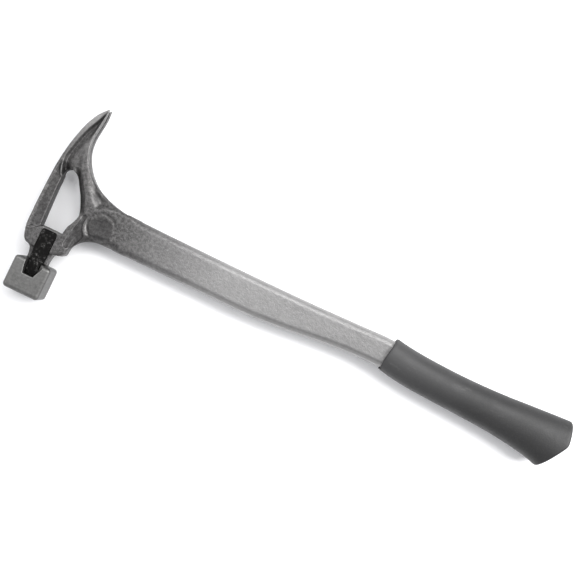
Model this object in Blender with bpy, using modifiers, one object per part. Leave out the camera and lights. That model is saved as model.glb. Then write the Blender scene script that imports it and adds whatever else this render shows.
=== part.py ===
"""Long framing hammer: a one-piece titanium head and handle, a screw-on steel striking face
located by two side keys, and a moulded rubber grip.

The hammer lies on its side. +X runs along the handle to the butt, +Y from the striking face
to the claw tips, and +Z up out of the side that shows. The origin is on the surface it lies
on, under the middle of the outline.

The shapes are drawn in u, v and w: u along the handle from the poll's axis, v up the poll
from the striking face, and w out of the sides from the middle plane. All lengths are metres,
written as millimetres times MM.
"""
import math

import bmesh
import bpy
from mathutils import Vector

MM = 0.001

# Driving dimensions
HEAD_REACH = 20.0 * MM          # from the poll's axis to the outer edge of the head
BUTT_REACH = 438.0 * MM         # from the poll's axis to the end of the grip
HEAD_HEIGHT = 160.0 * MM        # from the striking face to the claw tips
FACE_SIZE = 30.4 * MM           # the striking face is square
FACE_HEIGHT = 27.0 * MM
FACE_CORNER = 3.0 * MM
HEAD_HALF = 8.2 * MM            # half the thickness of the head over its rims
HEAD_EDGE = 1.8 * MM            # the rounding round the head's sides
NECK_HALF = 6.8 * MM            # half the thickness of the neck above the face
NECK_TOP = 36.5 * MM
SEAT_HEIGHT = 55.3 * MM         # the window's floor, where the bolt goes in
FIT = 0.3 * MM                  # the gap between neighbours
PAST = 5.0 * MM                 # how far a cutter runs on past what it cuts

# The bolt: M6 x 35 socket cap screw, with its spring washer
BOLT_RADIUS = 3.0 * MM
BOLT_LENGTH = 35.0 * MM
BOLT_HEAD_RADIUS = 5.0 * MM
BOLT_HEAD_HEIGHT = 6.0 * MM
HEX_ACROSS_FLATS = 5.0 * MM
HEX_DEPTH = 3.0 * MM
WASHER_THICKNESS = 1.6 * MM
WASHER_EDGE = 0.2 * MM
BOLT_CHAMFER = 0.5 * MM
HOLE_PAST_BOLT = 1.0 * MM       # the tapped hole is this much deeper than the bolt
COUNTERBORE_RADIUS = 5.3 * MM
COUNTERBORE_DEPTH = 9.0 * MM
UNDER_BOLT_HEAD = SEAT_HEIGHT - COUNTERBORE_DEPTH + WASHER_THICKNESS + 2 * FIT

# The side keys and their pockets
KEY_WIDTH = 12.2 * MM
KEY_FOOT_WIDTH = 8.4 * MM
KEY_THICKNESS = 2.6 * MM
KEY_EDGE = 0.4 * MM
KEY_CORNER = 2.6 * MM           # how much of each top corner is cut off
KEY_CORNER_BULGE = 0.3          # how far that cut bulges out, as a share of it
KEY_FOOT = 15.8 * MM            # v of the key's lower end
KEY_TAPER_TOP = 38.0 * MM       # v where the key reaches its full width
KEY_TOP = 53.6 * MM
POCKET_FLOOR = 6.2 * MM         # w of the pockets' floor

# How far the face's slots widen on each side of the key, part way up and at the top
SLOT_FLARE_START = 1.3 * MM
SLOT_FLARE_HEIGHT = 22.0 * MM
SLOT_FLARE = 3.2 * MM

# The nail notch between the claws
NOTCH_ROOT = 112.0 * MM
NOTCH_TIP_HALF = 3.2 * MM
NOTCH_ROOT_HALF = 0.6 * MM

# The round dish in each side, where the struts meet the handle
DISH_U = 34.7 * MM
DISH_V = 72.7 * MM
DISH_RADIUS = 11.5 * MM
DISH_DEPTH = 1.4 * MM
RECESS_DEPTH = 1.6 * MM

ORIGIN = Vector((-(BUTT_REACH - HEAD_REACH) / 2, -HEAD_HEIGHT / 2, FACE_SIZE / 2))

# Outlines in millimetres. A third value marks a sharp corner; the rest is a smooth curve.
HEAD_OUTLINE = (
    (-8.5, 27.3, 1), (-9.2, 33), (-10.6, 36.5), (-15.5, 39.1), (-19.4, 49), (-20, 62),
    (-19.7, 84), (-18.0, 111.4), (-14.0, 131.5), (-10.0, 144.1), (-4.9, 153.6),
    (0.6, 160, 1), (0.9, 152), (-0.1, 142), (-0.9, 133), (0.3, 123.5), (4.4, 114.7),
    (10.1, 107.2), (18.5, 100.3), (29, 95.5), (43, 91.9), (52, 83), (53.5, 73),
    (52, 66), (44, 61), (33.5, 60), (23, 54.2), (18.6, 46.3), (17.6, 41.3), (14.6, 39),
    (9.8, 37.6), (8.4, 33), (8.1, 27.3, 1),
)
WINDOW_OUTLINE = (
    (-9.3, 55.3, 1), (-10.1, 76), (-10.4, 92), (-9.3, 102.8), (-6.0, 104.8), (-1.4, 102.8),
    (5.1, 94.2), (13.1, 78.4), (14.6, 73.6), (13.4, 69), (10.2, 62), (9.1, 55.3, 1),
)
# The handle's sections, and its tang's inside the grip: u, lowest v, highest v, half thickness
HANDLE_SECTIONS = (
    (26.0, 61.6, 92.0, 7.8), (60.0, 61.1, 91.2, 7.8), (120.0, 61.1, 90.8, 7.6),
    (176.0, 61.6, 90.9, 7.5), (204.0, 64.0, 91.2, 7.4), (232.0, 67.2, 91.9, 7.3),
    (258.0, 68.9, 92.7, 7.2), (276.0, 69.2, 93.2, 7.2), (292.0, 69.4, 91.8, 7.0),
    (340.0, 66.8, 88.2, 6.6), (424.0, 65.6, 86.4, 6.2),
)
HANDLE_SQUARENESS = 0.55        # 1 makes an ellipse, and less makes a rounded rectangle
# Shallow recesses in each side: the claws' web, the rail beside the window, the flank that
# slopes to the top edge, and the foot below the dish
CLAW_RECESS = (
    (-13.8, 99), (-14.4, 107), (-12.7, 116), (-9.6, 126.5), (-5.8, 139.4), (-1.2, 151),
    (-2.4, 134), (-1.4, 122), (-2.6, 110), (-7, 107.4), (-11.6, 104.8),
)
RAIL_RECESS = ((-17.6, 52.5), (-18.2, 74), (-17, 95), (-12.4, 95), (-11.8, 74), (-11.0, 52.5))
FLANK_RECESS = (
    (1.6, 122, 1), (3.4, 112.6), (8.2, 104.4), (14.4, 96.6), (20.4, 90.6), (26.5, 87.4),
    (36, 90), (40, 100, 1), (14, 124, 1),
)
FOOT_RECESS = ((14.8, 50.5), (16.4, 59), (19.6, 66.4), (21.6, 60.6), (18.2, 50.5))

# The grip's sections: u, lowest v, highest v, half thickness, all in millimetres
GRIP_SECTIONS = (
    (278.0, 67.8, 95.5, 10.6), (280.6, 67.3, 96.0, 11.2), (286.0, 66.2, 95.1, 11.4),
    (300.0, 64.3, 93.3, 11.8), (322.0, 62.9, 91.9, 12.4), (350.0, 61.7, 91.4, 12.9),
    (380.0, 59.9, 92.4, 13.3), (400.0, 57.5, 93.9, 13.7), (414.0, 54.9, 94.9, 14.1),
    (421.4, 53.0, 95.6, 14.2),
)
# The butt is cut off square at the top and slanting at the bottom: u of the section's lowest
# point, its lowest v, u and v of its highest point, and its half thickness
GRIP_BUTT = ((425.0, 54.2, 432.0, 95.9, 14.0), (427.5, 57.4, 436.0, 93.0, 12.6),
             (429.2, 60.6, 438.0, 88.5, 10.4))
GRIP_SQUARENESS = 0.88
GRIP_LEAN = 0.06                # the mouth leans back by this share of its height
GRIP_LEAN_END = 300.0
TANG_GAP = 0.4                  # millimetres of room around the tang
RING_SIDES = 28
TURNED_SIDES = 32
DISH_SIDES = 40


def clear_scene():
    for old in list(bpy.data.objects):
        bpy.data.objects.remove(old, do_unlink=True)


def collection(name):
    made = bpy.data.collections.new(name)
    bpy.context.scene.collection.children.link(made)
    return made


def material(name, colour, roughness, metallic):
    made = bpy.data.materials.new(name)
    made.use_nodes = True
    shader = made.node_tree.nodes["Principled BSDF"]
    shader.inputs["Base Color"].default_value = (*colour, 1.0)
    shader.inputs["Roughness"].default_value = roughness
    shader.inputs["Metallic"].default_value = metallic
    return made


def bezier_outline(name, points, half, where):
    """A flat plate of the outline, as a curve: smooth through the plain points, sharp at marked ones."""
    curve = bpy.data.curves.new(name, "CURVE")
    curve.dimensions = "2D"
    curve.fill_mode = "BOTH"
    curve.extrude = half
    curve.resolution_u = 5
    spline = curve.splines.new("BEZIER")
    spline.bezier_points.add(len(points) - 1)
    spline.use_cyclic_u = True
    for anchor, point in zip(spline.bezier_points, points):
        anchor.co = (point[0] * MM, point[1] * MM, 0)
        kind = "VECTOR" if len(point) == 3 else "AUTO"
        anchor.handle_left_type = kind
        anchor.handle_right_type = kind
    plate = bpy.data.objects.new(name, curve)
    where.objects.link(plate)
    return plate


def to_mesh(curve_object, where):
    """The curve's solid as a mesh object in the same place, with its caps welded on."""
    graph = bpy.context.evaluated_depsgraph_get()
    mesh = bpy.data.meshes.new_from_object(curve_object.evaluated_get(graph))
    work = bmesh.new()
    work.from_mesh(mesh)
    bmesh.ops.remove_doubles(work, verts=work.verts, dist=0.00001)
    bmesh.ops.dissolve_degenerate(work, edges=work.edges, dist=0.00001)
    bmesh.ops.recalc_face_normals(work, faces=work.faces)
    work.to_mesh(mesh)
    work.free()
    name = curve_object.name
    matrix = curve_object.matrix_world.copy()
    bpy.data.objects.remove(curve_object, do_unlink=True)
    made = bpy.data.objects.new(name, mesh)
    made.matrix_world = matrix
    where.objects.link(made)
    return made


def plate(name, points, half, where, height=0.0):
    """A mesh plate of the outline, with its middle plane at the given height."""
    curve = bezier_outline(name, points, half, where)
    curve.location.z = height
    bpy.context.view_layer.update()
    return to_mesh(curve, where)


def mesh_object(name, work, where):
    """An object made of the bmesh's faces, which it frees."""
    bmesh.ops.recalc_face_normals(work, faces=work.faces)
    mesh = bpy.data.meshes.new(name)
    work.to_mesh(mesh)
    work.free()
    made = bpy.data.objects.new(name, mesh)
    where.objects.link(made)
    return made


def upright_cylinder(name, radius, low, high, where, sides=TURNED_SIDES):
    """A cylinder on the poll's axis, from v = low to v = high."""
    work = bmesh.new()
    bmesh.ops.create_cone(
        work, cap_ends=True, segments=sides, radius1=radius, radius2=radius, depth=high - low,
    )
    made = mesh_object(name, work, where)
    made.rotation_euler.x = -math.pi / 2
    made.location.y = (low + high) / 2
    return made


def side_frustum(name, radius, floor_radius, u, v, low, high, where):
    """A round cutter for the upper side: floor_radius at w = low, radius at w = high."""
    work = bmesh.new()
    bmesh.ops.create_cone(
        work, cap_ends=True, segments=DISH_SIDES, radius1=floor_radius, radius2=radius,
        depth=high - low,
    )
    made = mesh_object(name, work, where)
    made.location = (u, v, (low + high) / 2)
    return made


def bevel(target, width, segments, angle=40.0):
    """Rounds the edges sharper than the angle."""
    made = target.modifiers.new("rounded edges", "BEVEL")
    made.width = width
    made.segments = segments
    made.limit_method = "ANGLE"
    made.angle_limit = math.radians(angle)
    made.use_clamp_overlap = True
    return made


def boolean(target, other, operation="DIFFERENCE"):
    """Cuts the other shape out of the target, or joins it on."""
    made = target.modifiers.new(operation.lower(), "BOOLEAN")
    made.operation = operation
    made.solver = "EXACT"
    made.object = other
    other.hide_render = True
    other.display_type = "WIRE"
    return made


def other_side(source, where):
    """The same shape mirrored in the hammer's middle plane."""
    bpy.context.view_layer.update()
    mesh = source.data.copy()
    work = bmesh.new()
    work.from_mesh(mesh)
    bmesh.ops.transform(work, matrix=source.matrix_world, verts=work.verts)
    bmesh.ops.scale(work, vec=(1, 1, -1), verts=work.verts)
    bmesh.ops.reverse_faces(work, faces=work.faces)
    work.to_mesh(mesh)
    work.free()
    made = bpy.data.objects.new(source.name + "_below", mesh)
    where.objects.link(made)
    return made


def smooth(target, angle=35.0):
    target.data.shade_smooth()
    target.data.set_sharp_from_angle(angle=math.radians(angle))


def key_points(grow):
    """The side key's outline, tapering to its foot; grow widens it into the pocket that takes it."""
    half = KEY_WIDTH / 2 + grow
    foot = KEY_FOOT_WIDTH / 2 + grow
    low, high = KEY_FOOT - grow, KEY_TOP + grow
    bulge = KEY_CORNER * KEY_CORNER_BULGE
    right = ((foot, low), (half, KEY_TAPER_TOP), (half, high - KEY_CORNER),
             (half - bulge, high - bulge), (half - KEY_CORNER, high))
    left = tuple((-u, v) for u, v in reversed(right))
    return tuple((u / MM, v / MM, 1) for u, v in right + left)


def head_and_handle(parts, cutters):
    """The titanium casting: head, claws and handle, down to the tang inside the grip."""
    casting = plate("head_and_handle", HEAD_OUTLINE, HEAD_HALF, parts)
    bevel(casting, HEAD_EDGE, 2)
    handle = loft("handle_tool", handle_rings(0.0), cutters)
    boolean(casting, handle, "UNION")
    window = plate("window_tool", WINDOW_OUTLINE, HEAD_HALF + PAST, cutters)
    boolean(casting, window)
    for name, outline in (("claw_recess", CLAW_RECESS), ("rail_recess", RAIL_RECESS),
                          ("flank_recess", FLANK_RECESS), ("foot_recess", FOOT_RECESS)):
        pocket = plate(name, outline, RECESS_DEPTH, cutters, HEAD_HALF)
        boolean(casting, pocket)
        boolean(casting, other_side(pocket, cutters))
    shoulder = plate("neck_tool", shoulder_points(), HEAD_HALF, cutters, NECK_HALF + HEAD_HALF)
    boolean(casting, shoulder)
    boolean(casting, other_side(shoulder, cutters))
    dish = side_frustum("dish_tool", DISH_RADIUS + DISH_DEPTH, DISH_RADIUS - DISH_DEPTH,
                        DISH_U, DISH_V, HEAD_HALF - DISH_DEPTH, HEAD_HALF + DISH_DEPTH, cutters)
    boolean(casting, dish)
    boolean(casting, other_side(dish, cutters))
    boolean(casting, claw_notch(cutters))
    pocket = plate("key_pocket", key_points(FIT), HEAD_HALF, cutters, POCKET_FLOOR + HEAD_HALF)
    boolean(casting, pocket)
    boolean(casting, other_side(pocket, cutters))
    boolean(casting, upright_cylinder(
        "bolt_way", BOLT_RADIUS + FIT, FACE_HEIGHT - PAST, SEAT_HEIGHT + PAST, cutters))
    boolean(casting, upright_cylinder(
        "counterbore", COUNTERBORE_RADIUS, SEAT_HEIGHT - COUNTERBORE_DEPTH, SEAT_HEIGHT + PAST, cutters))
    casting.data.materials.append(material("cast titanium", (0.17, 0.168, 0.165), 0.42, 0.9))
    smooth(casting)
    return casting


def shoulder_points():
    """Everything below the top of the neck, across the whole head."""
    low, wide = FACE_HEIGHT - PAST, HEAD_REACH + PAST
    corners = ((-wide, low), (-wide, NECK_TOP), (wide, NECK_TOP), (wide, low))
    return tuple((u / MM, v / MM, 1) for u, v in corners)


def claw_notch(cutters):
    """The wedge between the claws, narrowing from the tips to a flat root."""
    past_tip = HEAD_HEIGHT + PAST
    half = NOTCH_TIP_HALF * (past_tip - NOTCH_ROOT) / (HEAD_HEIGHT - NOTCH_ROOT)
    points = ((past_tip, -half), (past_tip, half), (NOTCH_ROOT, NOTCH_ROOT_HALF),
              (NOTCH_ROOT, -NOTCH_ROOT_HALF))
    wedge = plate("notch_tool", [(v / MM, w / MM, 1) for v, w in points], 2 * HEAD_REACH, cutters)
    # The outline's first axis turns to v and its second to w, so the plate's depth runs along u.
    wedge.rotation_euler = (math.pi / 2, 0, math.pi / 2)
    return wedge


def striking_face(parts, cutters):
    """The steel block that strikes: a slot in each side takes a key, and a hole in the top the bolt."""
    work = bmesh.new()
    bmesh.ops.create_cube(work, size=1.0)
    bmesh.ops.scale(work, vec=(FACE_SIZE, FACE_HEIGHT, FACE_SIZE), verts=work.verts)
    bmesh.ops.translate(work, vec=(0, FACE_HEIGHT / 2, 0), verts=work.verts)
    face = mesh_object("striking_face", work, parts)
    bevel(face, FACE_CORNER, 4)
    foot = KEY_FOOT_WIDTH / 2 + FIT
    right = ((foot, KEY_FOOT - FIT), (foot + SLOT_FLARE_START, SLOT_FLARE_HEIGHT),
             (foot + SLOT_FLARE, FACE_HEIGHT), (foot + SLOT_FLARE, FACE_HEIGHT + PAST))
    slot_points = right + tuple((-u, v) for u, v in reversed(right))
    slot = plate("slot_tool", [(u / MM, v / MM, 1) for u, v in slot_points],
                 FACE_SIZE / 2, cutters, POCKET_FLOOR + FACE_SIZE / 2)
    boolean(face, slot)
    boolean(face, other_side(slot, cutters))
    hole_floor = UNDER_BOLT_HEAD - BOLT_LENGTH - HOLE_PAST_BOLT
    boolean(face, upright_cylinder(
        "tapped_hole", BOLT_RADIUS + FIT, hole_floor, FACE_HEIGHT + PAST, cutters))
    face.data.materials.append(material("face steel", (0.27, 0.27, 0.265), 0.38, 0.95))
    smooth(face)
    return face


def side_key(name, side, parts):
    """A flat black key in the head's pocket, with its foot in the face's slot."""
    middle = side * (POCKET_FLOOR + FIT + KEY_THICKNESS / 2)
    key = plate(name, key_points(0.0), KEY_THICKNESS / 2, parts, middle)
    bevel(key, KEY_EDGE, 2)
    key.data.materials.append(material(name + " black", (0.012, 0.011, 0.011), 0.5, 0.2))
    smooth(key)
    return key


def lock_washer(parts):
    """The spring washer under the bolt's head, a turned ring."""
    bore, radius, top = BOLT_RADIUS + FIT, BOLT_HEAD_RADIUS, WASHER_THICKNESS
    profile = ((bore, top), (radius - WASHER_EDGE, top), (radius, top - WASHER_EDGE),
               (radius, WASHER_EDGE), (radius - WASHER_EDGE, 0), (bore, 0))
    washer = screw_profile("lock_washer", profile, parts)
    washer.location.y = SEAT_HEIGHT - COUNTERBORE_DEPTH + FIT
    washer.data.materials.append(material("washer steel", (0.3, 0.3, 0.3), 0.35, 1.0))
    return washer


def screw_profile(name, profile, parts):
    """A turned shape about the poll's axis: the profile is (radius, height) from the top down."""
    mesh = bpy.data.meshes.new(name)
    edges = [(i, i + 1) for i in range(len(profile) - 1)]
    if profile[0][0] > 0:
        edges.append((len(profile) - 1, 0))
    mesh.from_pydata([(radius, 0, height) for radius, height in profile], edges, [])
    made = bpy.data.objects.new(name, mesh)
    parts.objects.link(made)
    made.rotation_euler.x = -math.pi / 2
    turn = made.modifiers.new("turned", "SCREW")
    turn.steps = TURNED_SIDES
    turn.render_steps = TURNED_SIDES
    turn.use_merge_vertices = True
    turn.merge_threshold = 0.00001
    turn.use_smooth_shade = True
    return made


def face_bolt(parts, cutters):
    """The cap screw that holds the face on, its hexagon socket open to the window."""
    profile = (
        (0, BOLT_HEAD_HEIGHT), (BOLT_HEAD_RADIUS - BOLT_CHAMFER, BOLT_HEAD_HEIGHT),
        (BOLT_HEAD_RADIUS, BOLT_HEAD_HEIGHT - BOLT_CHAMFER), (BOLT_HEAD_RADIUS, 0),
        (BOLT_RADIUS, 0), (BOLT_RADIUS, BOLT_CHAMFER - BOLT_LENGTH),
        (BOLT_RADIUS - BOLT_CHAMFER, -BOLT_LENGTH), (0, -BOLT_LENGTH),
    )
    bolt = screw_profile("face_bolt", profile, parts)
    bolt.location.y = UNDER_BOLT_HEAD
    top = UNDER_BOLT_HEAD + BOLT_HEAD_HEIGHT
    socket = upright_cylinder("hex_tool", HEX_ACROSS_FLATS / math.sqrt(3), top - HEX_DEPTH,
                              top + PAST, cutters, sides=6)
    boolean(bolt, socket)
    bolt.data.materials.append(material("bolt steel", (0.1, 0.1, 0.1), 0.4, 0.9))
    return bolt


def ring(low, high, half, squareness):
    """A rounded oval across the handle, from its lowest point (u, v) to its highest."""
    points = []
    for i in range(RING_SIDES):
        turn = 2 * math.pi * i / RING_SIDES
        across, up = (math.copysign(abs(x) ** squareness, x) for x in (math.cos(turn), math.sin(turn)))
        share = (1 + up) / 2
        points.append(Vector((
            low[0] + (high[0] - low[0]) * share, low[1] + (high[1] - low[1]) * share, half * across,
        )) * MM)
    return points


def loft(name, rings, where):
    """A closed solid skinned over the rings, with flat ends."""
    work = bmesh.new()
    verts = [[work.verts.new(point) for point in points] for points in rings]
    for first, second in zip(verts, verts[1:]):
        for i in range(RING_SIDES):
            j = (i + 1) % RING_SIDES
            work.faces.new((first[i], first[j], second[j], second[i]))
    work.faces.new(verts[0])
    work.faces.new(list(reversed(verts[-1])))
    return mesh_object(name, work, where)


def handle_rings(grow):
    """The handle's sections, widened by grow millimetres for the space around it."""
    rings = [ring((u, low - grow), (u, high + grow), half + grow, HANDLE_SQUARENESS)
             for u, low, high, half in HANDLE_SECTIONS]
    for point in rings[-1]:
        point.x += grow * MM
    return rings


def grip(parts, cutters):
    """The moulded rubber grip, hollow for the tang, with its mouth at the front."""
    rings = [ring((u, low), (u + GRIP_LEAN * (high - low) * (u < GRIP_LEAN_END), high), half,
                  GRIP_SQUARENESS)
             for u, low, high, half in GRIP_SECTIONS]
    rings += [ring((low_u, low_v), (high_u, high_v), half, GRIP_SQUARENESS)
              for low_u, low_v, high_u, high_v, half in GRIP_BUTT]
    body = loft("grip", rings, parts)
    boolean(body, loft("tang_way", handle_rings(TANG_GAP), cutters))
    body.data.materials.append(material("grip rubber", (0.055, 0.055, 0.056), 0.62, 0.0))
    smooth(body, 50.0)
    return body


def main():
    clear_scene()
    parts = collection("framing_hammer")
    cutters = collection("cutters")
    drawing = bpy.data.objects.new("drawing_origin", None)
    drawing.location = ORIGIN
    parts.objects.link(drawing)
    head_and_handle(parts, cutters)
    striking_face(parts, cutters)
    side_key("side_key_upper", 1, parts)
    side_key("side_key_lower", -1, parts)
    lock_washer(parts)
    face_bolt(parts, cutters)
    grip(parts, cutters)
    for made in list(parts.objects) + list(cutters.objects):
        if made is not drawing:
            made.parent = drawing


main()
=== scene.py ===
"""The framing hammer's looks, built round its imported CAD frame.

The casting, the steel face, the keys, the bolt, the washer and the grip are rounded solids,
so each is written as a distance function (negative inside) and skinned by skin(). The
functions are in the hammer's drawing axes: u along the handle from the poll's axis, v up the
poll from the striking face, and w out of the side, all in millimetres. The drawing origin is
taken from the frame's own boxes.
"""

import math

import bpy
import numpy as np
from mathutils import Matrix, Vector


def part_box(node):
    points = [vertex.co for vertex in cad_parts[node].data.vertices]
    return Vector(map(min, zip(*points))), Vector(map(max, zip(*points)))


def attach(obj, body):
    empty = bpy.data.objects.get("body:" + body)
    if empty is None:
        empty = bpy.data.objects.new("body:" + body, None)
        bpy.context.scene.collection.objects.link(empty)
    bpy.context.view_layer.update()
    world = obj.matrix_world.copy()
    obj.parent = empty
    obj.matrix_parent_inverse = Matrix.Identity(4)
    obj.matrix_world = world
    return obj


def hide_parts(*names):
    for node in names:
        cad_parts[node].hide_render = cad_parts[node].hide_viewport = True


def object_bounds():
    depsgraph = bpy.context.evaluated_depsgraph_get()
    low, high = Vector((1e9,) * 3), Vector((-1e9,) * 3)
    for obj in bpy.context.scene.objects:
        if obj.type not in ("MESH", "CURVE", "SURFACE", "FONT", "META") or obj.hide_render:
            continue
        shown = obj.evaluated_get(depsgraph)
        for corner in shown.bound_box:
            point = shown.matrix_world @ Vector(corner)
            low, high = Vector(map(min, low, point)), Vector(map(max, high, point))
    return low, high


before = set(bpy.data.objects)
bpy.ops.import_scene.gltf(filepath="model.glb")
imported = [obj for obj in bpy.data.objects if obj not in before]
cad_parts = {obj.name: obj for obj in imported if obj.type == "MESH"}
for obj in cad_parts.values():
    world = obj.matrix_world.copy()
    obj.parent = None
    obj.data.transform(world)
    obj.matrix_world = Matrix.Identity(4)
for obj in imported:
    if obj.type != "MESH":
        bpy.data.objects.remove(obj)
cad_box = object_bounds()

MM = 0.001
COARSE = 1.0


def drawing_origin():
    """The poll's axis at the striking face, in the middle plane."""
    bolt_low, bolt_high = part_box("face_bolt")
    face_low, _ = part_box("striking_face")
    head_low, head_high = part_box("head_and_handle")
    return Vector(((bolt_low.x + bolt_high.x) / 2, face_low.y, (head_low.z + head_high.z) / 2))


ORIGIN = drawing_origin()


# Skinning a distance function ---------------------------------------------------------------

def steps(*spans):
    """Grid lines: each span is (start, end, step), and they join end to start."""
    parts = [np.arange(start, end - step * 0.5, step) for start, end, step in spans]
    return np.concatenate(parts + [np.array([spans[-1][1]])]).astype(np.float64)


CORNERS = np.array([(i, j, k) for i in (0, 1) for j in (0, 1) for k in (0, 1)])
EDGES = [(a, b) for a in range(8) for b in range(a + 1, 8)
         if np.abs(CORNERS[a] - CORNERS[b]).sum() == 1]
SETTLE_ROUNDS = 3
LEAST_SLOPE = 0.05           # squared, so that a step stays short where the field is flat
SETTLED = 1e-9               # a step too short to matter, which is never divided by zero


def sample(field, axes, points):
    """The field at any points, by trilinear interpolation."""
    cell, share = [], []
    for line, value in zip(axes, points.T):
        i = np.clip(np.searchsorted(line, value) - 1, 0, len(line) - 2)
        cell.append(i)
        share.append(np.clip((value - line[i]) / (line[i + 1] - line[i]), 0, 1))
    total = np.zeros(len(points))
    for corner in CORNERS:
        weight = np.ones(len(points))
        for axis in range(3):
            weight = weight * (share[axis] if corner[axis] else 1 - share[axis])
        total += weight * field[cell[0] + corner[0], cell[1] + corner[1], cell[2] + corner[2]]
    return total


def settle(field, axes, points):
    """Moves the points onto the surface where the field is zero."""
    reach = 0.5 * min(np.diff(line).min() for line in axes)
    for _ in range(SETTLE_ROUNDS):
        value = sample(field, axes, points)
        slope = np.zeros_like(points)
        for axis in range(3):
            offset = np.zeros(3)
            offset[axis] = reach
            slope[:, axis] = (sample(field, axes, points + offset)
                              - sample(field, axes, points - offset)) / (2 * reach)
        size = np.maximum((slope ** 2).sum(axis=1), LEAST_SLOPE)
        move = -(value / size)[:, None] * slope
        far = np.linalg.norm(move, axis=1)
        points = points + move * np.minimum(1, reach / np.maximum(far, SETTLED))[:, None]
    return points


def surface_net(field, axes):
    """The field's zero surface: a point in each crossed cell, a quad for each crossed grid edge."""
    inside = field < 0
    mixed = np.zeros(tuple(n - 1 for n in field.shape), bool)
    first = inside[:-1, :-1, :-1]
    for i, j, k in CORNERS[1:]:
        mixed |= first != inside[i:i + mixed.shape[0], j:j + mixed.shape[1], k:k + mixed.shape[2]]
    cells = np.argwhere(mixed)
    number = np.full(mixed.shape, -1, np.int64)
    number[mixed] = np.arange(len(cells))
    values = np.stack([field[tuple((cells + corner).T)] for corner in CORNERS], axis=1)
    total = np.zeros((len(cells), 3))
    count = np.zeros(len(cells))
    for a, b in EDGES:
        crossed = (values[:, a] < 0) != (values[:, b] < 0)
        share = values[crossed, a] / (values[crossed, a] - values[crossed, b])
        total[crossed] += CORNERS[a] + share[:, None] * (CORNERS[b] - CORNERS[a])
        count[crossed] += 1
    local = total / count[:, None]
    points = np.stack([line[i] + s * (line[i + 1] - line[i])
                       for line, i, s in zip(axes, cells.T, local.T)], axis=1)
    quads = []
    for axis in range(3):
        low = np.moveaxis(inside, axis, 0)
        ids = np.moveaxis(number, axis, 0)
        i, j, k = np.nonzero(low[:-1, 1:-1, 1:-1] != low[1:, 1:-1, 1:-1])
        j, k = j + 1, k + 1
        quad = np.stack([ids[i, j - 1, k - 1], ids[i, j, k - 1], ids[i, j, k], ids[i, j - 1, k]],
                        axis=1)
        turned = low[i, j, k] == (axis == 1)
        quad[turned] = quad[turned][:, ::-1]
        quads.append(quad)
    return points, np.concatenate(quads)


def skin(name, distance, u_lines, v_lines, w_lines, relax=2):
    """An object skinned over the distance function's zero surface, in world metres.

    relax is how many rounds of smoothing then even out its points.
    """
    axes = (u_lines, v_lines, w_lines)
    grid = (u_lines[:, None, None], v_lines[None, :, None], w_lines[None, None, :])
    field = np.broadcast_to(distance(*grid), tuple(len(line) for line in axes)).astype(np.float64)
    points, quads = surface_net(field, axes)
    points = settle(field, axes, points)
    mesh = bpy.data.meshes.new(name)
    mesh.from_pydata((points * MM + np.array(ORIGIN)).tolist(), [], quads.tolist())
    mesh.validate()
    mesh.shade_smooth()
    made = bpy.data.objects.new(name, mesh)
    bpy.context.scene.collection.objects.link(made)
    if relax:
        modifier = made.modifiers.new("relax", "SMOOTH")
        modifier.factor = 0.5
        modifier.iterations = relax
    return made


# Distance functions -------------------------------------------------------------------------

def either(a, b, k):
    """The union of two shapes, with a fillet about k wide."""
    share = np.clip(0.5 + 0.5 * (b - a) / k, 0, 1)
    return b * (1 - share) + a * share - k * share * (1 - share)


def both(a, b, k):
    """What two shapes share, with its edge rounded about k wide."""
    return -either(-a, -b, k)


def without(a, b, k):
    """The first shape with the second cut out, the cut's edge rounded about k wide."""
    return both(a, -b, k)


def slab(flat, w, half, radius):
    """A plate of a flat outline, half thick each side of the middle, its edges rounded."""
    out = flat + radius
    up = np.abs(w) - half + radius
    outside = np.hypot(np.maximum(out, 0), np.maximum(up, 0))
    return np.minimum(np.maximum(out, up), 0) + outside - radius


def between(value, low, high):
    """Negative between low and high."""
    return np.abs(value - (low + high) / 2) - (high - low) / 2


def rise(value, low, high):
    """0 below low, 1 above high, and a smooth ramp between."""
    share = np.clip((value - low) / (high - low), 0, 1)
    return share * share * (3 - 2 * share)


def fall(value, low, high):
    """1 below low, 0 above high, and a smooth ramp between."""
    return rise(-value, -high, -low)


def ramp(value, low, high):
    """0 below low, 1 above high, and a straight slope between."""
    return np.clip((value - low) / (high - low), 0, 1)


def hermite(t, span, start, start_slope, end, end_slope):
    """A smooth curve from start to end, as t runs from 0 to 1 over the span."""
    return ((2 * t ** 3 - 3 * t ** 2 + 1) * start + (t ** 3 - 2 * t ** 2 + t) * span * start_slope
            + (3 * t ** 2 - 2 * t ** 3) * end + (t ** 3 - t ** 2) * span * end_slope)


def along(u, stations, values):
    """A smooth curve through the values at the stations."""
    slopes = np.gradient(values, stations)
    i = np.clip(np.searchsorted(stations, u) - 1, 0, len(stations) - 2)
    span = stations[i + 1] - stations[i]
    t = np.clip((u - stations[i]) / span, 0, 1)
    return hermite(t, span, values[i], slopes[i], values[i + 1], slopes[i + 1])


def section(u, stations):
    """(lowest v, highest v, half thickness) at u, from rows of u and those three."""
    return [along(u, stations[:, 0], stations[:, column]) for column in (1, 2, 3)]


PER_SPAN = 8                 # how many pieces curve_points makes of each span


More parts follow.
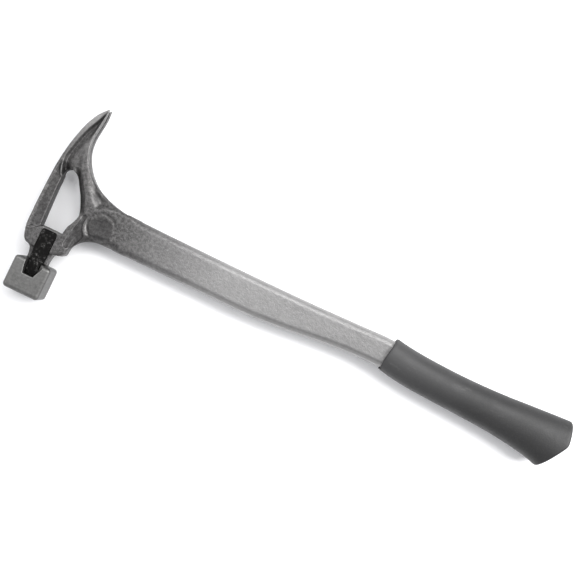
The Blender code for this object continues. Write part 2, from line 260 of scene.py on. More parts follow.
def curve_points(points, closed=True):
    """A smooth line through the points; a third value marks a corner."""
    flat = np.array([point[:2] for point in points], float)
    corner = [len(point) == 3 for point in points]
    count = len(points)
    spans = count if closed else count - 1
    line = []
    for i in range(spans):
        a, b = flat[i], flat[(i + 1) % count]
        span = np.linalg.norm(b - a)

        def heading(j):
            last = not closed and j in (0, count - 1)
            if corner[j % count] or last:
                return (b - a) / span
            before, here, after = flat[(j - 1) % count], flat[j % count], flat[(j + 1) % count]
            d1, d2 = np.linalg.norm(here - before), np.linalg.norm(after - here)
            return ((here - before) / d1 * d2 + (after - here) / d2 * d1) / (d1 + d2)

        m1, m2 = heading(i), heading(i + 1)
        for t in np.arange(PER_SPAN) / PER_SPAN:
            line.append(hermite(t, span, a, m1, b, m2))
    if not closed:
        line.append(flat[-1])
    return np.array(line)


def line_distance(u, v, line, closed):
    """(how far each point is from the line, whether the closed line holds it)."""
    shape = np.broadcast_shapes(u.shape, v.shape)
    nearest = np.full(shape, 1e9)
    inside = np.zeros(shape, bool)
    ends = np.roll(line, -1, axis=0) if closed else line[1:]
    for a, b in zip(line, ends):
        du, dv = b - a
        share = np.clip(((u - a[0]) * du + (v - a[1]) * dv) / max(du * du + dv * dv, 1e-12), 0, 1)
        nearest = np.minimum(nearest, (u - a[0] - share * du) ** 2 + (v - a[1] - share * dv) ** 2)
        if closed and dv:
            crosses = (a[1] > v) != (b[1] > v)
            inside ^= crosses & (u < a[0] + (v - a[1]) * du / dv)
    return np.sqrt(nearest), inside


def region(u, v, points):
    """Signed distance to a closed outline in the drawing plane."""
    far, inside = line_distance(u, v, curve_points(points), True)
    return np.where(inside, -far, far)


# The titanium casting -----------------------------------------------------------------------

HEAD_OUTLINE = (
    (-8.5, 27.3, 1), (-9.2, 33), (-10.6, 36.5), (-15.5, 39.1), (-19.4, 49), (-20, 62),
    (-19.7, 84), (-18.0, 111.4), (-14.0, 131.5), (-10.0, 144.1), (-4.9, 153.6),
    (0.6, 160, 1), (0.9, 152), (-0.1, 142), (-0.9, 133), (0.3, 123.5), (4.4, 114.7),
    (10.1, 107.2), (18.5, 100.3), (29, 95.5), (43, 91.9), (60, 91.0, 1), (60, 61.2, 1),
    (44, 61), (33.5, 60), (23, 54.2), (18.6, 46.3), (17.6, 41.3), (14.6, 39),
    (9.8, 37.6), (8.4, 33), (8.1, 27.3, 1),
)
WINDOW = (
    (-9.3, 55.3, 1), (-10.1, 76), (-10.4, 92), (-9.3, 102.8), (-6.0, 104.8), (-1.4, 102.8),
    (5.1, 94.2), (13.1, 78.4), (14.6, 73.6), (13.4, 69), (10.2, 62), (9.1, 55.3, 1),
)
# Handle stations: u, lowest v, highest v, half thickness, as in the CAD
HANDLE = np.array((
    (26.0, 61.6, 92.0, 7.8), (60.0, 61.1, 91.2, 7.8), (120.0, 61.1, 90.8, 7.6),
    (176.0, 61.6, 90.9, 7.5), (204.0, 64.0, 91.2, 7.4), (232.0, 67.2, 91.9, 7.3),
    (258.0, 68.9, 92.7, 7.2), (276.0, 69.2, 93.2, 7.2), (292.0, 69.4, 91.8, 7.0),
    (340.0, 66.8, 88.2, 6.6), (424.0, 65.6, 86.4, 6.2),
))
# Top of the wall inside the claws' outer rim, from the tips down to the window's upper corner
RIM_WALL = (
    (0.2, 157), (-1.6, 153.6), (-3.6, 149), (-5.8, 144.2), (-8.4, 138.6), (-10.6, 132.6),
    (-12.4, 126.4), (-13.9, 120.4), (-15.0, 114.6), (-15.2, 109.6), (-14.3, 104.6), (-12.9, 100.6),
    (-11.9, 97.4),
)
CLAW_WEB = RIM_WALL + (
    (-9.6, 96.4), (-8, 101), (-5, 103.2), (-1.4, 102), (3.0, 98.6), (2.4, 104), (0.9, 109),
    (-0.7, 114.5), (-1.5, 119.5), (-1.9, 126.7), (-1.9, 134.4), (-1.3, 141), (-0.6, 147),
    (0.1, 152.4),
)
RAIL_FLOOR = (
    (-18.3, 54.5), (-18.7, 75), (-18.1, 90), (-17.3, 99), (-16.6, 105), (-15.5, 107), (-13.5, 100),
    (-11, 97), (-7, 96, 1), (-7, 54, 1), (-8.3, 53.6), (-11.2, 51.7), (-15.1, 51.2), (-18, 49.6),
)
# Top of the steep wall that runs from the claws' roots down to the disc
RIDGE = (
    (-0.7, 124), (-0.5, 119.9), (1.5, 114.2), (4.7, 107.5), (8.6, 101.1), (13.2, 95), (17.9, 89.8),
    (21.6, 86.6), (23.4, 84.6),
)
FLANK = RIDGE + (
    (26.2, 84.2), (30, 85.8), (36, 87.2), (44, 88.4), (56, 90, 1), (56, 104, 1), (14, 128, 1),
    (3, 128, 1),
)
FOOT = (
    (13.6, 47.6), (13.4, 54), (14.2, 60), (15.6, 65.8), (16.9, 71.5), (17.8, 76.6), (19.4, 77.6),
    (21.2, 75.6), (20.9, 70.4), (22.4, 65.4), (25.0, 61.6), (22.8, 55), (19.2, 48.6), (16, 46.4),
)
HEAD_HALF = 8.2              # half thickness over the head's rims
NECK_HALF = 6.8              # and of the neck that stands on the steel face
NECK_TOP = (36.4, 38.4)      # v over which the neck widens to the head
HANDLE_ROOT = 50.0           # u where the handle's bar starts, inside the head
HANDLE_BLEND = (47.0, 62.0)  # u over which the head's relief gives way to the bar
HEAD_TOP = 160.0             # v of the claws' tips

# Depths of the relief below the rims, and where some of it lies
WEB_DEPTH = 3.4              # the claws' web, just inside the rim's wall
WEB_CROWN = 2.4              # how much the web rises again away from that wall
POCKET = (-11.0, 101.0)      # the deepest place of the web, above the rail
POCKET_DEPTH = 1.2
RAIL_DEPTH = 1.3
RIDGE_HIGH, RIDGE_LOW = 0.8, 3.2    # the ridge's drop up the claws, and what is added below
STRUT_DEPTH = 2.7            # the strut's slope down to the window
FOOT_DEPTH = 1.5
BELLY_DEPTH = 4.4            # the rolled edge under the disc
DISC = (34.7, 72.7)          # the round disc where the struts meet the handle
DISC_RADIUS = 11.2
DISC_DISH = 0.6
GROOVE_DEPTH = 0.6           # the groove round the disc
GROOVE_EXTRA = 0.7           # how much deeper it is toward the foot
GROOVE_WIDTH = 1.25

NOTCH_ROOT = 112.0           # v where the split between the claws ends
NOTCH_HALF = 0.6             # half its width there
NOTCH_SPREAD = 2.6           # and how much that grows up to the tips

GAP = 0.3                    # room between neighbouring pieces
BOLT_HOLE = 3.3              # radius of the bolt's hole in the head and in the face
COUNTERBORE = 5.3            # radius of the room for the bolt's head
COUNTERBORE_FLOOR = 46.3
BOLT_WAY_TOP = 60.0          # v inside the window, past the end of both

KEY_FLOOR = 6.2              # how far the floor under a key lies from the middle plane
KEY_HALF = 1.3               # half a key's thickness
KEY_WIDE, KEY_FOOT = 6.1, 4.2           # half widths of its upper part and at its lower end
KEY_LOW, KEY_TAPER_TOP, KEY_HIGH = 15.8, 38.0, 53.6
KEY_CUT = 2.6                # how much of each top corner is cut off
KEY_BULGE = 0.3              # how far that cut bulges out, as a share of it


def key_outline(grow):
    """The side key, tapering to its foot, with its top corners cut off round."""
    half, foot, low, high = KEY_WIDE + grow, KEY_FOOT + grow, KEY_LOW - grow, KEY_HIGH + grow
    bulge = KEY_CUT * KEY_BULGE
    right = ((foot, low, 1), (half, KEY_TAPER_TOP, 1), (half, high - KEY_CUT, 1),
             (half - bulge, high - bulge), (half - KEY_CUT, high, 1))
    return right + tuple((-point[0],) + point[1:] for point in reversed(right))


def handle_bar(u, v):
    """The side outline of the handle and of the tang inside the grip, open toward the head."""
    low, high, _ = section(u, HANDLE)
    return np.maximum(between(v, low, high), u - HANDLE[-1, 0])


def thickness(u, v, flat):
    """Half the casting's thickness over each point of its side: rims, webs, grooves and flanks."""
    half = np.full(np.broadcast_shapes(u.shape, v.shape), HEAD_HALF)

    # The claws' web, deepest just inside the rim's wall, and the floor of the rail below it
    from_wall, _ = line_distance(u, v, curve_points(RIM_WALL, closed=False), False)
    wall_width = 1.5 + 0.9 * fall(v, 124, 142)
    pocket = POCKET_DEPTH * (1 - rise(np.hypot(u - POCKET[0], v - POCKET[1]), 2, 8))
    web_depth = WEB_DEPTH + pocket - WEB_CROWN * rise(from_wall, 2.2, 8)
    web = web_depth * ramp(-region(u, v, CLAW_WEB), 0.0, wall_width)
    rail = RAIL_DEPTH * ramp(-region(u, v, RAIL_FLOOR), 0.0, 1.3)
    half = half - np.maximum(web, rail)

    # The steep wall under the ridge, and the flank past it, which fades out into the handle
    drop = RIDGE_HIGH + RIDGE_LOW * fall(v, 88, 110)
    half = half - drop * rise(-region(u, v, FLANK), 0.0, 7.0) * (1 - rise(u, 26, 50))

    # The strut's slope down to the window, and the step at its foot
    strut = rise(u, -4, 0) * rise(v, 72, 80)
    half = half - STRUT_DEPTH * (1 - rise(region(u, v, WINDOW), 0.2, 5.0)) * strut
    half = half - FOOT_DEPTH * rise(-region(u, v, FOOT), 0.0, 1.2)

    # Under the disc the side rolls away to the casting's lower edge
    belly = rise(u, 17.5, 20) * (1 - rise(u, 44, 60)) * (1 - rise(v, 66, 70))
    half = half - BELLY_DEPTH * (1 - rise(-flat, -0.4, 6.4)) * belly

    # The groove round the disc, and the disc's own shallow dish
    from_disc = np.hypot(u - DISC[0], v - DISC[1])
    toward_foot = ((DISC[0] - u) * 0.8 + (DISC[1] - v) * 0.6) / np.maximum(from_disc, 1)
    groove = GROOVE_DEPTH + GROOVE_EXTRA * np.maximum(toward_foot, 0) ** 4
    half = half - groove * np.exp(-((from_disc - DISC_RADIUS) / GROOVE_WIDTH) ** 2)
    half = half - DISC_DISH * (1 - rise(from_disc, 1, DISC_RADIUS))

    half = half + (NECK_HALF - HEAD_HALF) * fall(v, *NECK_TOP)
    handle = section(u, HANDLE)[2]
    return half + (handle - half) * rise(u, *HANDLE_BLEND)


def casting(u, v, w):
    """Head, claws, handle and tang, with the window, the nail notch and the bolt's way cut out."""
    bar = np.maximum(handle_bar(u, v), HANDLE_ROOT - u)
    flat = either(region(u, v, HEAD_OUTLINE), bar, 1.5)
    # Its edges are sharpest up the claws and roundest along the handle
    radius = 1.7 - 0.8 * rise(v, 112, 126) + 1.1 * rise(u, 4, 22) + 2.9 * rise(u, 46, 66)
    shape = slab(flat, w, thickness(u, v, flat), radius)
    shape = without(shape, region(u, v, WINDOW), 1.3)

    share = (v - NOTCH_ROOT) / (HEAD_TOP - NOTCH_ROOT)
    notch = np.maximum(np.abs(w) - (NOTCH_HALF + NOTCH_SPREAD * share), NOTCH_ROOT - v)
    root = np.hypot(w, NOTCH_ROOT - v) - NOTCH_HALF
    shape = without(shape, np.where(v < NOTCH_ROOT, root, notch), 0.9)

    pocket = np.maximum(region(u, v, key_outline(GAP)), KEY_FLOOR - np.abs(w))
    shape = without(shape, pocket, 0.25)
    from_axis = np.hypot(u, w)
    past_way = v - BOLT_WAY_TOP
    shape = without(shape, np.maximum(from_axis - BOLT_HOLE, past_way), 0.2)
    counterbore = np.maximum(from_axis - COUNTERBORE, COUNTERBORE_FLOOR - v)
    return without(shape, np.maximum(counterbore, past_way), 0.4)


# The rest of the pieces ---------------------------------------------------------------------

FACE_HALF = 15.2             # half the width of the square face
FACE_HEIGHT = 27.0
FACE_CORNER = 3.0            # radius of its edges
FACE_HOLE_FLOOR = 12.2
# The slot for a key, which runs out of the top of the face
FACE_SLOT = ((-4.5, 15.5, 1), (4.5, 15.5, 1), (5.6, 22, 1), (6.0, 31, 1), (-6.0, 31, 1),
             (-5.6, 22, 1))


def face_block(u, v, w):
    """The steel striking face: a rounded block, slotted for the keys and bored for the bolt."""
    past = [np.abs(u) - FACE_HALF + FACE_CORNER, between(v, 0, FACE_HEIGHT) + FACE_CORNER,
            np.abs(w) - FACE_HALF + FACE_CORNER]
    out = np.sqrt(sum(np.maximum(axis, 0) ** 2 for axis in past))
    shape = out + np.minimum(np.maximum(np.maximum(past[0], past[1]), past[2]), 0) - FACE_CORNER
    # The slot opens out toward the surface, most on the side of the handle
    flare = (0.4 + 2.2 * rise(u, -1, 1)) * rise(v, 15, 26) * rise(np.abs(w), 11.5, 15.0)
    slot = np.maximum(region(u, v, FACE_SLOT) - flare, KEY_FLOOR - np.abs(w))
    shape = without(shape, slot, 0.5)
    hole = np.maximum(np.hypot(u, w) - BOLT_HOLE, FACE_HOLE_FLOOR - v)
    return without(shape, hole, 0.3)


def key_middle(side):
    """w of the middle of a key's thickness: side is 1 for the upper key, -1 for the lower."""
    return side * (KEY_FLOOR + GAP + KEY_HALF)


def side_key(side):
    """One black key: a flat plate with softened edges."""
    def distance(u, v, w):
        return slab(region(u, v, key_outline(0.0)), w - key_middle(side), KEY_HALF, 0.45)
    return distance


BOLT_RADIUS = 3.0
BOLT_TIP, SHANK_TOP = 13.5, 49.0     # the shank runs on a little into the head
BOLT_SEAT = 48.5             # v of the underside of the bolt's head
BOLT_HEAD_RADIUS = 5.0
BOLT_HEAD_HALF = 3.0         # half the head's height, and the depth of its socket
SOCKET_HALF = 2.5            # half the hexagon's width across its flats
THREAD_START = 37.5          # v where the thread runs out
THREAD_PITCH = 1.0
THREAD_DEPTH = 0.42
WASHER_MIDDLE = 47.4
WASHER_HALF = 0.8            # half the washer's thickness
WASHER_HOLE = 3.3            # its inner radius; the outer one is the bolt head's
SPLIT = 0.35                 # half the split's width, and how much it leans


def cap_screw(u, v, w):
    """The M6 socket screw, with its thread on the lower part of the shank."""
    from_axis = np.hypot(u, w)
    angle = np.arctan2(w, u)
    turn = angle / (2 * math.pi)
    wave = np.abs(((v - turn) % THREAD_PITCH) - THREAD_PITCH / 2) * 2
    threaded = fall(v, THREAD_START - 0.5, THREAD_START + 0.5)
    shank = from_axis - (BOLT_RADIUS - THREAD_DEPTH * wave * threaded)
    shank = both(shank, between(v, BOLT_TIP, SHANK_TOP), 0.5)
    from_head = np.abs(v - BOLT_SEAT - BOLT_HEAD_HALF) - BOLT_HEAD_HALF
    head = both(from_axis - BOLT_HEAD_RADIUS, from_head, 0.9)
    facet = np.cos((angle + math.pi / 6) % (math.pi / 3) - math.pi / 6)
    hexagon = np.maximum(from_axis * facet - SOCKET_HALF, BOLT_SEAT + BOLT_HEAD_HALF - v)
    return without(np.minimum(shank, head), hexagon, 0.2)


def washer_ring(u, v, w):
    """The spring washer, split at one place."""
    from_axis = np.hypot(u, w)
    up = v - WASHER_MIDDLE
    ring = np.maximum(from_axis - BOLT_HEAD_RADIUS, WASHER_HOLE - from_axis)
    ring = both(ring, np.abs(up) - WASHER_HALF, 0.35)
    split = np.maximum(np.abs(w + SPLIT * up) - SPLIT, -u)
    return without(ring, split, 0.15)


# Grip stations: u, lowest v, highest v, half thickness. The last ones run on past the butt.
GRIP = np.array((
    (274.0, 68.6, 96.3, 10.3), (281.0, 67.2, 96.0, 11.1), (287.0, 66.0, 94.9, 11.4),
    (300.0, 64.3, 93.3, 11.8), (322.0, 62.9, 91.9, 12.4), (350.0, 61.7, 91.4, 12.9),
    (380.0, 59.9, 92.4, 13.3), (400.0, 57.5, 93.9, 13.7), (414.0, 54.9, 94.9, 14.1),
    (424.0, 51.9, 95.6, 14.2), (440.0, 46.5, 96.6, 14.2),
))
GRIP_POWER = 2.12            # the section's shape: 2 would be an ellipse
MOUTH = (277.4, 68)          # a point of the mouth's lower end
MOUTH_LEAN = 9.0             # degrees
BUTT = (438.0, 77.6)         # where the butt's two flats meet
BUTT_FLATS = ((-6.3, 3.0), (30.8, 1.6))    # each one's lean in degrees, and its edge's rounding
TANG_EDGE = 5.0              # radius of the edges of the hollow for the tang


def rubber_grip(u, v, w):
    """The moulded grip: oval sections along the handle, a leaning mouth and a slanting butt."""
    low, high, half = section(u, GRIP)
    tall = (high - low) / 2
    oval = (np.abs(v - (low + high) / 2) / tall) ** GRIP_POWER + (np.abs(w) / half) ** GRIP_POWER
    shape = (oval ** (1 / GRIP_POWER) - 1) * np.minimum(tall, half)
    lean = math.radians(MOUTH_LEAN)
    mouth = (MOUTH[0] - u) * math.cos(lean) + (v - MOUTH[1]) * math.sin(lean)
    shape = both(shape, mouth, 1.4)
    for angle, rounding in BUTT_FLATS:
        turn = math.radians(angle)
        end = (u - BUTT[0]) * math.cos(turn) - (v - BUTT[1]) * math.sin(turn)
        shape = both(shape, end, rounding)
    tang = slab(handle_bar(u, v), w, section(u, HANDLE)[2], TANG_EDGE) - GAP
    return without(shape, tang, 0.5)


# Materials ----------------------------------------------------------------------------------

class Nodes:
    """A material's node tree, with short calls to add nodes and join them."""

    def __init__(self, name):
        self.material = bpy.data.materials.new(name)
        self.material.use_nodes = True
        self.tree = self.material.node_tree
        self.shader = self.tree.nodes["Principled BSDF"]
        self.place = self.add("ShaderNodeTexCoord").outputs["Object"]

    def add(self, kind, **settings):
        """A new node, with its settings."""
        node = self.tree.nodes.new(kind)
        for key, value in settings.items():
            setattr(node, key, value)
        return node

    def join(self, source, target):
        """A link from an output to an input."""
        self.tree.links.new(source, target)

    def feed(self, socket, value):
        """Gives an input its value: another node's output, a colour or a number."""
        if isinstance(value, bpy.types.NodeSocket):
            self.join(value, socket)
        elif isinstance(value, tuple):
            socket.default_value = (*value, 1.0)
        else:
            socket.default_value = value

    def noise(self, scale, detail=3.0, roughness=0.5, stretch=None):
        """Noise over the object's own coordinates, which are in metres."""
        node = self.add("ShaderNodeTexNoise")
        node.inputs["Scale"].default_value = scale
        node.inputs["Detail"].default_value = detail
        node.inputs["Roughness"].default_value = roughness
        place = self.place
        if stretch:
            mapping = self.add("ShaderNodeMapping")
            mapping.inputs["Scale"].default_value = stretch
            self.join(place, mapping.inputs["Vector"])
            place = mapping.outputs["Vector"]
        self.join(place, node.inputs["Vector"])
        return node.outputs["Fac"]

    def ramp(self, source, *stops):
        """The source through a colour ramp; each stop is (position, a grey or a colour)."""
        node = self.add("ShaderNodeValToRGB")
        elements = node.color_ramp.elements
        while len(elements) < len(stops):
            elements.new(0.5)
        for element, (position, colour) in zip(elements, stops):
            element.position = position
            element.color = (*(colour if isinstance(colour, tuple) else (colour,) * 3), 1.0)
        self.join(source, node.inputs["Fac"])
        return node.outputs["Color"]

    def mix(self, share, a, b):
        """Colour a where the share is 0 and b where it is 1."""
        node = self.add("ShaderNodeMix", data_type="RGBA")
        for socket, value in ((node.inputs[0], share), (node.inputs[6], a), (node.inputs[7], b)):
            self.feed(socket, value)
        return node.outputs[2]

    def math(self, operation, a, b=0.0):
        """One sum of two numbers."""
        node = self.add("ShaderNodeMath", operation=operation)
        for socket, value in zip(node.inputs, (a, b)):
            self.feed(socket, value)
        return node.outputs[0]

    def product(self, a, b):
        """Where both masks are."""
        return self.math("MULTIPLY", a, b)

    def rest(self, mask):
        """Where a mask isn't."""
        return self.math("SUBTRACT", 1.0, mask)

    def tint(self, colour, mask, strength, toward):
        """The colour, moved toward another one by this strength where the mask is 1."""
        return self.mix(self.product(mask, strength), colour, toward)

    def part(self, vector, axis):
        """One number of a vector: axis is 0, 1 or 2."""
        split = self.add("ShaderNodeSeparateXYZ")
        self.join(vector, split.inputs[0])
        return split.outputs[axis]

    def span(self, source, start, end):
        """0 where the source is start or before it, 1 where it is end or past it."""
        node = self.add("ShaderNodeMapRange")
        self.join(source, node.inputs["Value"])
        node.inputs["From Min"].default_value = start
        node.inputs["From Max"].default_value = end
        return node.outputs[0]

    def along_handle(self, start, end):
        """0 before start and 1 past end, in metres along the handle from the poll's axis."""
        return self.span(self.part(self.place, 0), ORIGIN.x + start, ORIGIN.x + end)

    def up_poll(self, start, end):
        """0 before start and 1 past end, in metres up the poll from the striking face."""
        return self.span(self.part(self.place, 1), ORIGIN.y + start, ORIGIN.y + end)

    def sunk(self, high, low):
        """1 where the side lies within low metres of the middle plane, 0 past high."""
        off_middle = self.math("SUBTRACT", self.part(self.place, 2), ORIGIN.z)
        return self.span(self.math("ABSOLUTE", off_middle), high, low)

    def near(self, u, v, inner, outer):
        """1 within inner metres of a point of the side (its place in millimetres), 0 past outer."""
        flatten = self.add("ShaderNodeVectorMath", operation="MULTIPLY")
        flatten.inputs[1].default_value = (1, 1, 0)
        self.join(self.place, flatten.inputs[0])
        away = self.add("ShaderNodeVectorMath", operation="DISTANCE")
        self.join(flatten.outputs[0], away.inputs[0])
        away.inputs[1].default_value = (ORIGIN.x + u * MM, ORIGIN.y + v * MM, 0)
        return self.span(away.outputs["Value"], outer, inner)

    def level(self, low, high):
        """1 where the surface faces out of the side, 0 where it is steep."""
        normal = self.add("ShaderNodeNewGeometry").outputs["Normal"]
        return self.span(self.math("ABSOLUTE", self.part(normal, 2)), low, high)

    def edges(self, low, high):
        """1 on convex edges, 0 elsewhere: for wear, and for a painted edge highlight."""
        pointiness = self.add("ShaderNodeNewGeometry").outputs["Pointiness"]
        return self.ramp(pointiness, (low, 0.0), (high, 1.0))

    def bump(self, height, strength, distance, normal=None):
        """The surface normal bumped by a height, over another bump's normal if there is one."""
        node = self.add("ShaderNodeBump")
        node.inputs["Strength"].default_value = strength
        node.inputs["Distance"].default_value = distance
        self.join(height, node.inputs["Height"])
        if normal:
            self.join(normal, node.inputs["Normal"])
        return node.outputs["Normal"]

    def finish(self, colour, roughness, normal, metallic=0.0):
        """The material, with these on its shader."""
        self.join(colour, self.shader.inputs["Base Color"])
        self.join(roughness, self.shader.inputs["Roughness"])
        self.join(normal, self.shader.inputs["Normal"])
        self.shader.inputs["Metallic"].default_value = metallic
        return self.material


BARE_METAL = 0.8             # how metallic the casting and the face are under their dull skin
SCREW_METAL = 0.9


def cast_titanium():
    """Cast titanium: dark, mottled and finely pitted in the head, and lighter down the handle,
    where a highlight is painted.
    """
    n = Nodes("cast_titanium")
    cloud = n.noise(55.0, 5.0, 0.65)
    mottle = n.noise(430.0, 3.0, 0.65)
    grain = n.noise(1500.0, 2.0, 0.6)
    colour = n.ramp(cloud, (0.3, (0.036, 0.0345, 0.0345)), (0.7, (0.052, 0.050, 0.0495)))
    colour = n.mix(n.ramp(mottle, (0.42, 0.0), (0.60, 0.85)), colour, (0.120, 0.1175, 0.1165))
    colour = n.mix(n.ramp(grain, (0.4, 0.0), (0.70, 0.5)), colour, (0.145, 0.142, 0.140))

    # Lighter up the claws and on the claws' rims, and a painted highlight down the handle
    colour = n.tint(colour, n.up_poll(0.105, 0.150), 0.25, (0.17, 0.167, 0.165))
    # Painted highlight: the handle is lightened as if the studio light washed along it
    handle_highlight = n.mix(mottle, (0.22, 0.217, 0.215), (0.34, 0.336, 0.333))
    colour = n.mix(n.along_handle(0.050, 0.140), colour, handle_highlight)
    rims = n.product(n.sunk(0.0068, 0.0076), n.up_poll(0.112, 0.150))
    rims = n.product(rims, n.rest(n.along_handle(-0.003, 0.001)))
    colour = n.tint(colour, rims, 0.6, (0.27, 0.266, 0.263))

    # Painted shade: darker on the recesses' floors, in the window and on the rolled edge under the
    # disc
    floor_shade = n.product(n.sunk(0.0079, 0.0062), n.level(0.88, 0.96))
    colour = n.tint(colour, floor_shade, 0.56, (0.022, 0.021, 0.021))
    # Painted shade on the walls inside the window
    window_shade = n.product(n.near(1.0, 80.0, 0.0255, 0.0280), n.sunk(0.0070, 0.0058))
    colour = n.tint(colour, window_shade, 0.75, (0.014, 0.0135, 0.0135))
    # Painted shade on the rolled edge under the disc, which faces away from the light
    belly = n.product(n.near(32.0, 50.0, 0.0085, 0.0160), n.sunk(0.0080, 0.0070))
    colour = n.tint(colour, belly, 0.8, (0.016, 0.0155, 0.0155))

    # A painted highlight at the ridge's lower end, painted shade in the split between the claws,
    # and the disc
    ridge_highlight = n.near(22.0, 89.2, 0.0010, 0.0050)
    colour = n.tint(colour, ridge_highlight, 0.28, (0.27, 0.266, 0.263))
    # Painted shade inside the split between the claws
    notch = n.product(n.sunk(0.0038, 0.0032), n.up_poll(0.112, 0.116))
    colour = n.tint(colour, notch, 0.85, (0.010, 0.0095, 0.0095))
    colour = n.tint(colour, n.near(*DISC, 0.0076, 0.0122), 0.6, (0.030, 0.029, 0.029))

    # Worn edges with a painted edge highlight on them, but not round the pocket above the rail
    colour = n.tint(colour, n.edges(0.512, 0.56), 0.6, (0.25, 0.246, 0.243))
    # Painted shade in the deep pocket above the rail
    pocket = n.product(n.near(-13.2, 103.6, 0.0036, 0.0066), n.sunk(0.0083, 0.0078))
    colour = n.tint(colour, pocket, 0.5, (0.016, 0.0155, 0.0155))

    rough = n.ramp(n.noise(120.0, 3.0), (0.3, 0.38), (0.7, 0.5))
    normal = n.bump(grain, 0.36, 0.0004)
    normal = n.bump(mottle, 0.38, 0.0006, normal)
    normal = n.bump(n.noise(240.0, 3.0), 0.08, 0.0012, normal)
    return n.finish(colour, rough, normal, BARE_METAL)


def face_steel():
    """Ground tool steel: mid grey, with fine grinding lines, faint stains and a few dark pits."""
    n = Nodes("face_steel")
    stain = n.noise(90.0, 4.0, 0.6)
    lines = n.noise(900.0, 2.0, 0.5, (0.08, 1.0, 1.0))
    mottle = n.noise(520.0, 3.0, 0.65)
    colour = n.ramp(stain, (0.3, (0.105, 0.104, 0.101)), (0.72, (0.135, 0.134, 0.130)))
    colour = n.mix(n.ramp(lines, (0.4, 0.0), (0.65, 0.25)), colour, (0.17, 0.169, 0.165))
    colour = n.mix(n.ramp(mottle, (0.42, 0.0), (0.64, 0.5)), colour, (0.19, 0.189, 0.185))
    # Worn edges, with a painted edge highlight on them
    colour = n.tint(colour, n.edges(0.515, 0.585), 0.5, (0.24, 0.239, 0.234))
    pits = n.ramp(n.noise(330.0, 2.0), (0.70, 0.0), (0.78, 0.35))
    colour = n.mix(pits, colour, (0.05, 0.048, 0.046))

    # Painted shade makes the walls round the block darker than its flat side; the pale nicks on
    # them are wear
    walls = n.rest(n.level(0.35, 0.75))
    colour = n.tint(colour, walls, 0.7, (0.05, 0.049, 0.048))
    nicks = n.ramp(n.noise(260.0, 4.0, 0.7), (0.60, 0.0), (0.68, 0.7))
    colour = n.tint(colour, walls, nicks, (0.19, 0.188, 0.184))

    rough = n.ramp(mottle, (0.3, 0.38), (0.7, 0.5))
    normal = n.bump(lines, 0.08, 0.0003)
    normal = n.bump(mottle, 0.14, 0.0005, normal)
    return n.finish(colour, rough, normal, BARE_METAL)


def black_key():
    """Matt black oxide, with small pale scuffs."""
    n = Nodes("black_key")
    scuff = n.noise(420.0, 6.0, 0.75)
    patch = n.noise(95.0, 2.0)
    scuffs = n.product(n.ramp(scuff, (0.54, 0.0), (0.63, 1.0)),
                       n.ramp(patch, (0.42, 0.0), (0.58, 0.65)))
    colour = n.mix(scuffs, (0.0022, 0.0020, 0.0018), (0.11, 0.108, 0.105))
    colour = n.mix(n.edges(0.53, 0.6), colour, (0.05, 0.049, 0.048))
    rough = n.ramp(scuff, (0.3, 0.5), (0.7, 0.66))
    n.shader.inputs["Specular IOR Level"].default_value = 0.09
    return n.finish(colour, rough, n.bump(n.noise(1300.0, 3.0), 0.15, 0.0003))


def black_steel():
    """Oiled black-oxide screw steel, bare on its edges."""
    n = Nodes("black_steel")
    cloud = n.noise(150.0, 4.0)
    colour = n.ramp(cloud, (0.35, (0.05, 0.05, 0.052)), (0.7, (0.11, 0.108, 0.105)))
    colour = n.mix(n.edges(0.52, 0.6), colour, (0.36, 0.35, 0.34))
    rough = n.ramp(cloud, (0.3, 0.3), (0.7, 0.45))
    return n.finish(colour, rough, n.bump(n.noise(900.0, 2.0), 0.08, 0.0003), SCREW_METAL)


def grip_rubber():
    """Moulded rubber: near-black with a fine pebbled skin, a faint bloom and a few scuffs."""
    n = Nodes("grip_rubber")
    cloud = n.noise(26.0, 4.0, 0.6)
    colour = n.ramp(cloud, (0.3, (0.0090, 0.0088, 0.0090)), (0.72, (0.0150, 0.0148, 0.0150)))
    # Lighter toward the mouth, and darker toward the butt
    colour = n.tint(colour, n.rest(n.along_handle(0.270, 0.360)), 0.6, (0.050, 0.0495, 0.050))
    colour = n.tint(colour, n.along_handle(0.370, 0.430), 0.35, (0.005, 0.005, 0.005))
    pebble = n.add("ShaderNodeTexVoronoi")
    pebble.inputs["Scale"].default_value = 900.0
    n.join(n.place, pebble.inputs["Vector"])
    dust = n.ramp(pebble.outputs["Distance"], (0.1, 0.20), (0.5, 0.0))
    colour = n.mix(dust, colour, (0.042, 0.0418, 0.042))
    scuff = n.noise(140.0, 6.0, 0.7, (0.35, 1.0, 1.0))
    colour = n.mix(n.ramp(scuff, (0.60, 0.0), (0.72, 0.35)), colour, (0.085, 0.084, 0.083))
    rough = n.ramp(n.noise(90.0, 3.0), (0.3, 0.48), (0.7, 0.60))
    normal = n.bump(pebble.outputs["Distance"], 0.10, 0.0005)
    normal = n.bump(n.noise(60.0, 2.0), 0.05, 0.002, normal)
    return n.finish(colour, rough, normal)


def floor_paint():
    """The studio's plain pale floor."""
    n = Nodes("studio_floor")
    colour = n.ramp(n.noise(3.0), (0.3, (0.93, 0.93, 0.935)), (0.7, (0.95, 0.95, 0.955)))
    return n.finish(colour, n.ramp(n.noise(40.0), (0.3, 0.75), (0.7, 0.8)),
                    n.bump(n.noise(300.0), 0.02, 0.0005))


# Pieces, camera and light -------------------------------------------------------------------

def piece(made, body, material, slot, *nodes):
    """Gives a piece its material and its body, and hides the CAD nodes that it replaces. slot is
    not used.
    """
    made.data.materials.append(material)
    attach(made, body)
    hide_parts(*nodes)


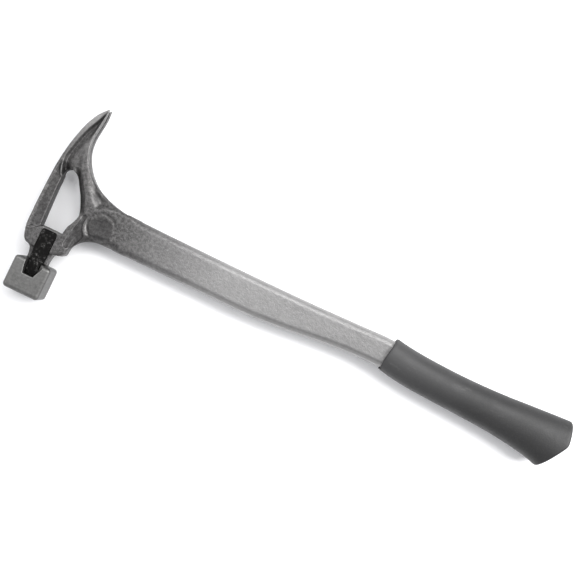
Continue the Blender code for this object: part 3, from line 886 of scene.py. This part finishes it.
def build_pieces():
    """Skins every piece of the hammer, on a grid that reaches a little past it."""
    fine = 0.5 * COARSE
    made = skin("casting", casting, steps((-21, 64, fine), (64, 290, 1.6), (290, 426, 4.0)),
                steps((26, 162, fine)), steps((-9.5, 9.5, fine)))
    piece(made, "hammer", cast_titanium(), "cast_titanium", "head_and_handle")

    across = steps((-16, 16, 0.4 * COARSE))
    made = skin("steel_face", face_block, across, steps((-1, 28, 0.4 * COARSE)), across)
    piece(made, "face", face_steel(), "face_steel", "striking_face")

    black = black_key()
    for side, word in ((1, "upper"), (-1, "lower")):
        middle = key_middle(side)
        made = skin("key_" + word, side_key(side), steps((-7, 7, 0.25 * COARSE)),
                    steps((15, 54.5, 0.25 * COARSE)),
                    steps((middle - 1.8, middle + 1.8, 0.2 * COARSE)), relax=1)
        piece(made, "hammer", black, "black_key", "side_key_" + word)

    steel = black_steel()
    across = steps((-5.6, 5.6, 0.16 * COARSE))
    made = skin("cap_screw", cap_screw, across, steps((13, 55, 0.16 * COARSE)), across, relax=0)
    piece(made, "bolt", steel, "black_steel", "face_bolt")
    across = steps((-5.4, 5.4, 0.15 * COARSE))
    made = skin("spring_washer", washer_ring, across, steps((46.2, 48.6, 0.15 * COARSE)), across,
                relax=0)
    piece(made, "washer", steel, "black_steel", "lock_washer")

    made = skin("moulded_grip", rubber_grip, steps((276, 439.2, 1.0 * COARSE)),
                steps((51, 98, 0.8 * COARSE)), steps((-15, 15, 0.8 * COARSE)))
    piece(made, "hammer", grip_rubber(), "grip_rubber", "grip")


FLOOR_REACH = 8.0
FLOOR_DROP = 0.0004          # how far the floor lies under the hammer, so that no faces meet


def floor():
    """The floor under the hammer."""
    reach = FLOOR_REACH
    mesh = bpy.data.meshes.new("floor")
    corners = [(-reach, -reach, 0), (reach, -reach, 0), (reach, reach, 0), (-reach, reach, 0)]
    mesh.from_pydata(corners, [], [(0, 1, 2, 3)])
    made = bpy.data.objects.new("studio_floor", mesh)
    made.location.z = cad_box[0][2] - FLOOR_DROP
    mesh.materials.append(floor_paint())
    bpy.context.scene.collection.objects.link(made)


CAMERA_HEIGHT = 0.936        # above the hammer's middle plane
VIEW_WIDTH = 0.4544          # of the middle plane across the picture
ROLL = math.radians(25.7)    # the handle runs down to the right by this much
VIEW_CENTRE = (186.8, 94.2)  # u and v at the middle of the picture


def camera():
    """A camera straight above the hammer's side, as the photograph was taken."""
    data = bpy.data.cameras.new("camera")
    data.sensor_width = 36.0
    data.lens = data.sensor_width * CAMERA_HEIGHT / VIEW_WIDTH
    made = bpy.data.objects.new("camera", data)
    made.location = ORIGIN + Vector((VIEW_CENTRE[0] * MM, VIEW_CENTRE[1] * MM, CAMERA_HEIGHT))
    made.rotation_euler = (0, 0, ROLL)
    bpy.context.scene.collection.objects.link(made)
    bpy.context.scene.camera = made


LIT_PLACE = Vector((0, 0, 0.01))     # what every light points at
# Each light's name, place, width and height, and watts
LIGHTS = (
    ("key_light", (1.15, 0.6, 0.95), (0.8, 0.8), 32.0),
    ("top_light", (0.1, 0.75, 1.4), (1.2, 0.6), 14.0),
    ("fill_light", (-0.9, 0.3, 1.0), (0.9, 0.9), 6.0),
)
WORLD_COLOUR = (0.97, 0.975, 1.0, 1.0)
WORLD_STRENGTH = 0.72


def area_light(name, place, size, power):
    """One soft rectangular light."""
    data = bpy.data.lights.new(name, "AREA")
    data.shape = "RECTANGLE"
    data.size, data.size_y = size
    data.energy = power
    made = bpy.data.objects.new(name, data)
    made.location = place
    aim = LIT_PLACE - Vector(place)
    made.rotation_euler = aim.to_track_quat("-Z", "Y").to_euler()
    bpy.context.scene.collection.objects.link(made)


def lights():
    """The studio's lights, and the pale world round them."""
    for light in LIGHTS:
        area_light(*light)
    world = bpy.data.worlds.new("studio")
    world.use_nodes = True
    background = world.node_tree.nodes["Background"]
    background.inputs["Color"].default_value = WORLD_COLOUR
    background.inputs["Strength"].default_value = WORLD_STRENGTH
    bpy.context.scene.world = world
    bpy.context.scene.view_settings.view_transform = "Standard"


build_pieces()
floor()
camera()
lights()
bpy.context.view_layer.update()
